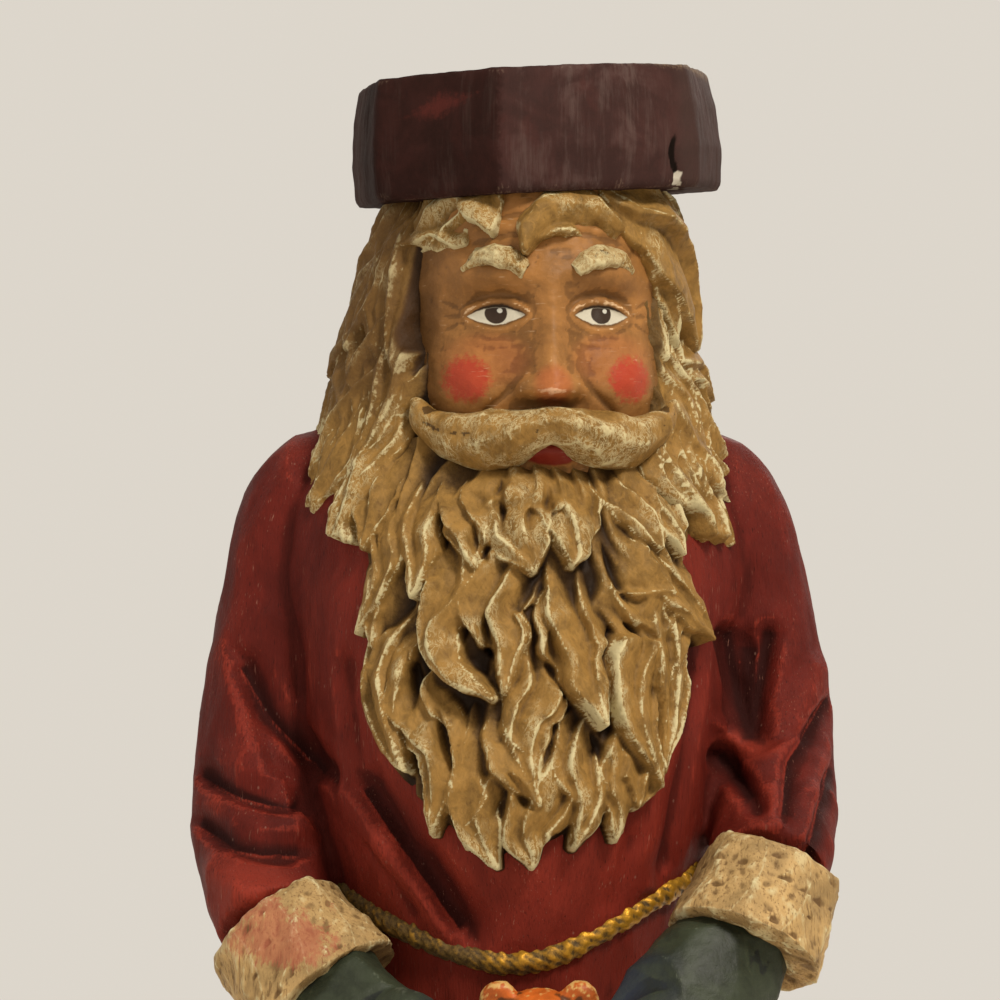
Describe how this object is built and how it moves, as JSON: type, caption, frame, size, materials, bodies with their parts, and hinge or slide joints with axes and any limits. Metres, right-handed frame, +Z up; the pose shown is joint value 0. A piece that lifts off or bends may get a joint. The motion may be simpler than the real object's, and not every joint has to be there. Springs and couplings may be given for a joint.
{
  "type": "santa figurine",
  "caption": "Standing Santa figurine in a folk-carved manner: flat fur cap, curled beard, long red coat with rope belt, mittens holding a small bear, on a low base.",
  "frame": {"origin": "middle of the base's underside, on the plane that it stands on", "axes": "+Z up, -Y to the front of the figure, +X to the viewer's right when facing it"},
  "size_m": [0.1288, 0.1168, 0.3004],
  "materials": {
    "painted_resin": "matt hand-painted and antiqued cast resin",
    "hat": "matt plum paint, worn at the edges, with a chip down to the white resin",
    "hair": "ochre paint, dark in the hollows and dry-brushed cream on the ridges",
    "skin": "matt flesh-brown paint with red cheeks",
    "coat": "matt barn-red paint with brown antiquing in the creases",
    "fur": "cream-tan paint over gouged texture",
    "mittens": "matt dark green paint",
    "belt": "gold paint rubbed over brown",
    "bear": "honey-brown paint",
    "boots": "near-black paint, rubbed brown at the edges",
    "base": "dark brown stain-like paint"
  },
  "bodies": {
    "root": {"santa_figurine": "painted_resin"}
  },
  "joints": []
}
